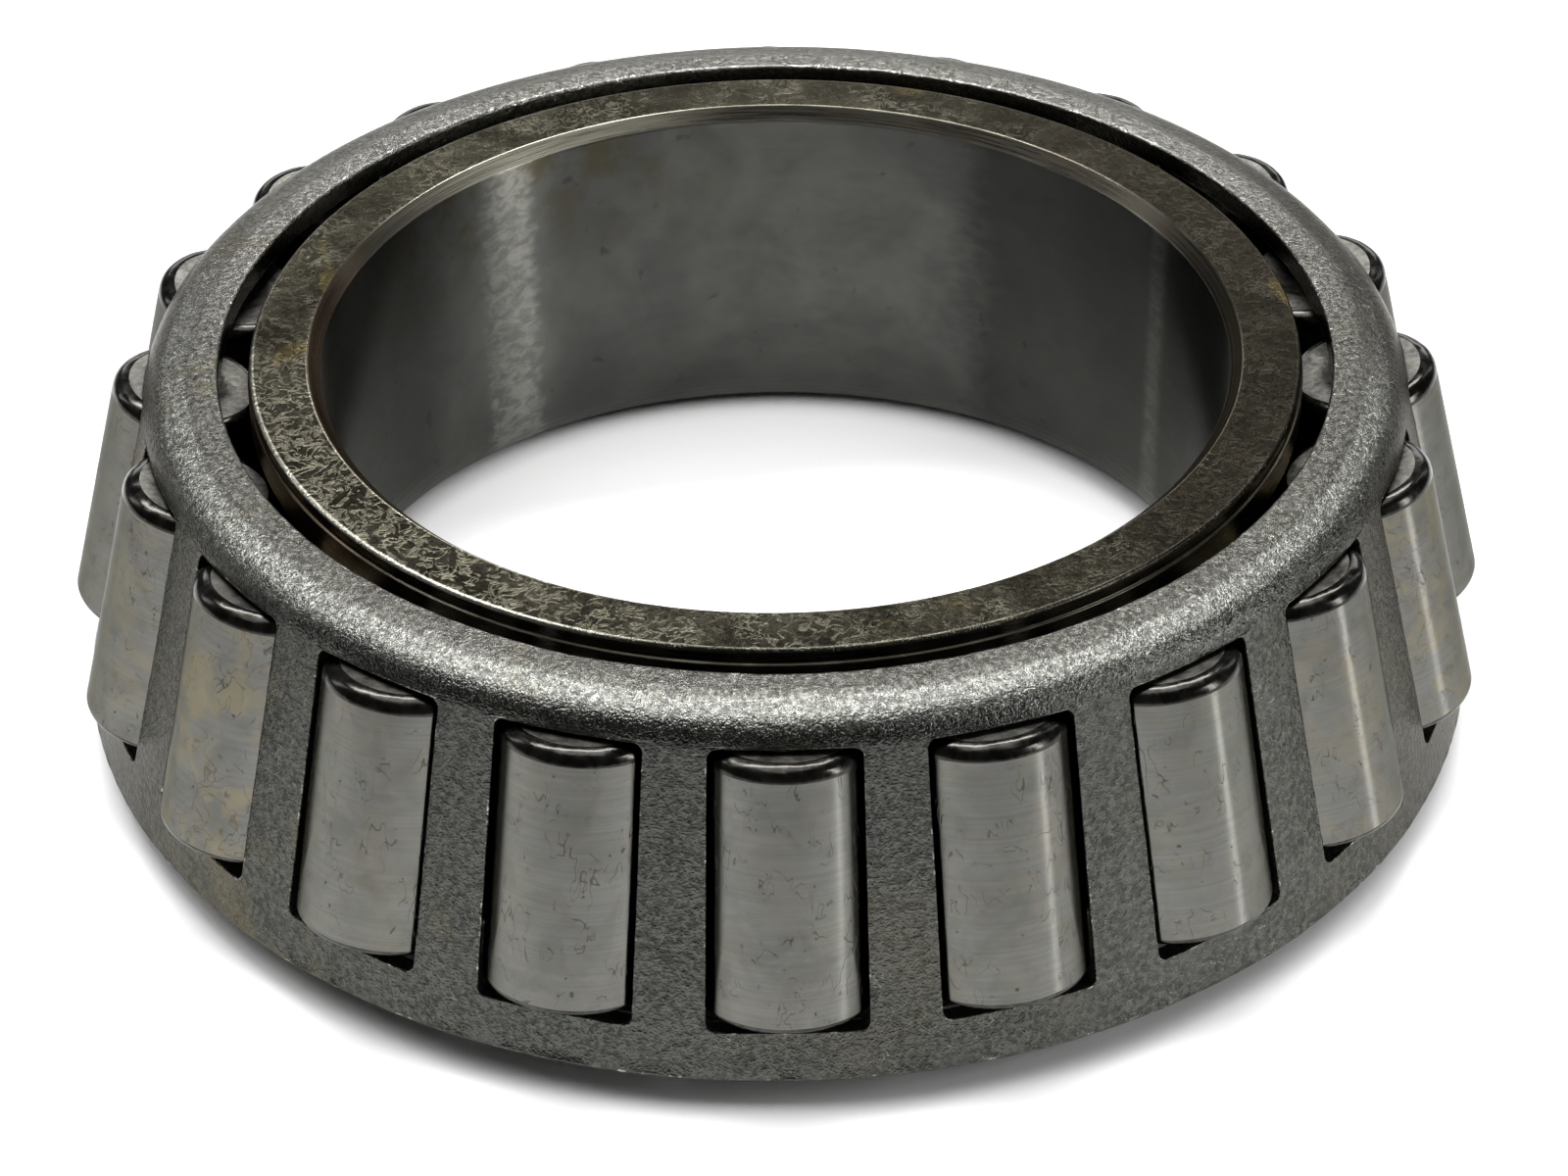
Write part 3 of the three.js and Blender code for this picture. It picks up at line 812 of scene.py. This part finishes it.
def roller_profile():
    """(radius, height, wear, finish) rows, from the middle of the large end to that of the small end."""
    large, small = ROLLER_MIDDLE - ROLLER_LARGE_EDGE, ROLLER_MIDDLE - ROLLER_SMALL_EDGE
    large_radius, small_radius = roller_radius(ROLLER_LARGE_EDGE), roller_radius(ROLLER_SMALL_EDGE)

    bottom, flat = large - ROLLER_LARGE_CORNER, large_radius - ROLLER_LARGE_CORNER
    hollow = bottom + LARGE_END_HOLLOW
    rows = [(0.0, hollow, END), (0.9, hollow, END), (1.3, bottom + 0.02, END), (1.6, bottom, END)]
    rows += [(flat - 0.6, bottom, END), (flat - 0.05, bottom, CORNER)]
    rows += quarter(flat, large, ROLLER_LARGE_CORNER, -math.pi / 2, 8, BODY)

    rows.append((large_radius - BODY_EDGE_DROP, large + BESIDE_CORNER, BODY))
    for k in range(1, BODY_STEPS):
        share = k / BODY_STEPS
        drop = BODY_CROWN * (2 * share - 1) ** 2
        radius = large_radius + (small_radius - large_radius) * share - drop
        rows.append((radius, large + (small - large) * share, BODY))
    rows.append((small_radius - BODY_EDGE_DROP, small - BESIDE_CORNER, BODY))

    top, flat = small + ROLLER_SMALL_CORNER, small_radius - ROLLER_SMALL_CORNER
    hollow = top - SMALL_END_HOLLOW
    rows += quarter(flat, small, ROLLER_SMALL_CORNER, 0.0, 12, END)
    rows += [(flat - 0.05, top, END), (2.0, top, END), (1.75, top - 0.06, END)]
    rows += [(1.3, top - 0.22, END), (0.7, hollow, END), (0.0, hollow, END)]
    return [(radius, height, 0.0, finish) for radius, height, finish in rows]


def forged(seed):
    """The unevenness of the end faces, which are left as forged. It only goes into the roller."""
    def shape(spot, normal, wear):
        if abs(normal.z) < 0.7:
            return Vector((0.0, 0.0, 0.0))
        depth = abs(noise.noise(spot * 0.9 + Vector((seed * 9, 0, 0)))) * FORGED_DEPTH
        return Vector((0.0, 0.0, -math.copysign(depth, normal.z)))
    return shape


def rollers():
    chance = random.Random(7)
    finishes = [roller_body_look(), roller_corner_look(), roller_end_look()]
    profile = roller_profile()
    out, up = roller_place(ROLLER_MIDDLE, 0)
    for i in range(ROLLER_COUNT):
        name = f"roller_{i + 1:02d}"
        shell = Shell()
        shell.lathe(profile, ROLLER_SEGMENTS)
        stain = OILED_ROLLERS.get(i, 0.12 + 0.2 * chance.random())
        piece = shell.piece(f"bearing_{name}", finishes, chance.random(), stain, forged(i))
        turn = Matrix.Rotation(i * PITCH - math.pi / 2, 4, "Z")
        tilt = Matrix.Rotation(-ROLLER_AXIS_ANGLE, 4, "Y")
        piece.matrix_world = turn @ Matrix.Translation(Vector((out, 0.0, up)) / METRE) @ tilt
        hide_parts(name)
        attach(piece, name)


# ---------------------------------------------------------------- studio
# Everything here is in metres.

FLOOR_HALF_WIDTH = 1.5


def floor():
    half = FLOOR_HALF_WIDTH
    corners = [(-half, -half, 0), (half, -half, 0), (half, half, 0), (-half, half, 0)]
    mesh = bpy.data.meshes.new("floor")
    mesh.from_pydata(corners, [], [(0, 1, 2, 3)])
    plane = bpy.data.objects.new("floor", mesh)
    bpy.context.scene.collection.objects.link(plane)
    plane.location.z = -1e-5
    material = bpy.data.materials.new("floor_pale")
    material.use_nodes = True
    shader = material.node_tree.nodes["Principled BSDF"]
    shader.inputs["Base Color"].default_value = (0.88, 0.88, 0.88, 1.0)
    shader.inputs["Roughness"].default_value = 0.9
    shader.inputs["Specular IOR Level"].default_value = 0.1
    mesh.materials.append(material)


def direction(azimuth, elevation):
    """The unit vector towards a place in the room. Azimuth 0 is +X and 90 is +Y, in degrees."""
    a, e = math.radians(azimuth), math.radians(elevation)
    return Vector((math.cos(e) * math.cos(a), math.cos(e) * math.sin(a), math.sin(e)))


def soft_light(name, azimuth, elevation, distance, width, height, power, target=(0.0, 0.0, 0.0)):
    """A rectangular soft light that faces its target, which is the bearing unless another is given."""
    away = direction(azimuth, elevation)
    light = bpy.data.lights.new(name, "AREA")
    light.shape = "RECTANGLE"
    light.size, light.size_y, light.energy = width, height, power
    lamp = bpy.data.objects.new(name, light)
    bpy.context.scene.collection.objects.link(lamp)
    lamp.location = Vector(target) + away * distance
    lamp.rotation_euler = away.to_track_quat("Z", "Y").to_euler()
    return lamp


def studio():
    floor()
    world = bpy.data.worlds.new("studio")
    bpy.context.scene.world = world
    world.use_nodes = True
    background = world.node_tree.nodes["Background"]
    background.inputs["Color"].default_value = (0.085, 0.085, 0.085, 1.0)
    background.inputs["Strength"].default_value = 1.0
    soft_light("overhead", 102, 67, 0.35, 0.38, 0.05, 1.55)
    soft_light("top", 96, 87, 0.35, 0.26, 0.16, 0.36)
    soft_light("back", 88, 20, 0.50, 0.50, 0.10, 0.55)
    soft_light("right_front", -21.5, 20, 0.45, 0.060, 0.28, 0.85)
    soft_light("left_back", 160, 28, 0.45, 0.05, 0.22, 0.15)
    soft_light("right_back", 39, 30, 0.45, 0.03, 0.24, 0.06)
    fill = soft_light("floor_fill", -90, 89, 0.09, 0.17, 0.07, 0.155, (0.0, -0.036, 0.0))
    fill.visible_glossy = False
    fill.visible_camera = False
    view = bpy.context.scene.view_settings
    view.view_transform = "Standard"
    view.look = "None"


def camera():
    """The photograph's camera, from a perspective fit to the bearing's edges."""
    target, distance, roll = Vector((0.00035, 0.0, 0.0044)), 0.2333, math.radians(-0.446)
    away = direction(-90.62, 35.86)
    data = bpy.data.cameras.new("camera")
    data.sensor_width, data.lens = 36.0, 103.2
    data.clip_start, data.clip_end = 0.01, 10.0
    thing = bpy.data.objects.new("camera", data)
    bpy.context.scene.collection.objects.link(thing)
    turn = away.to_track_quat("Z", "Y").to_matrix().to_4x4() @ Matrix.Rotation(roll, 4, "Z")
    thing.matrix_world = Matrix.Translation(target + away * distance) @ turn
    bpy.context.scene.camera = thing


camera()
inner_ring()
cage()
rollers()
studio()
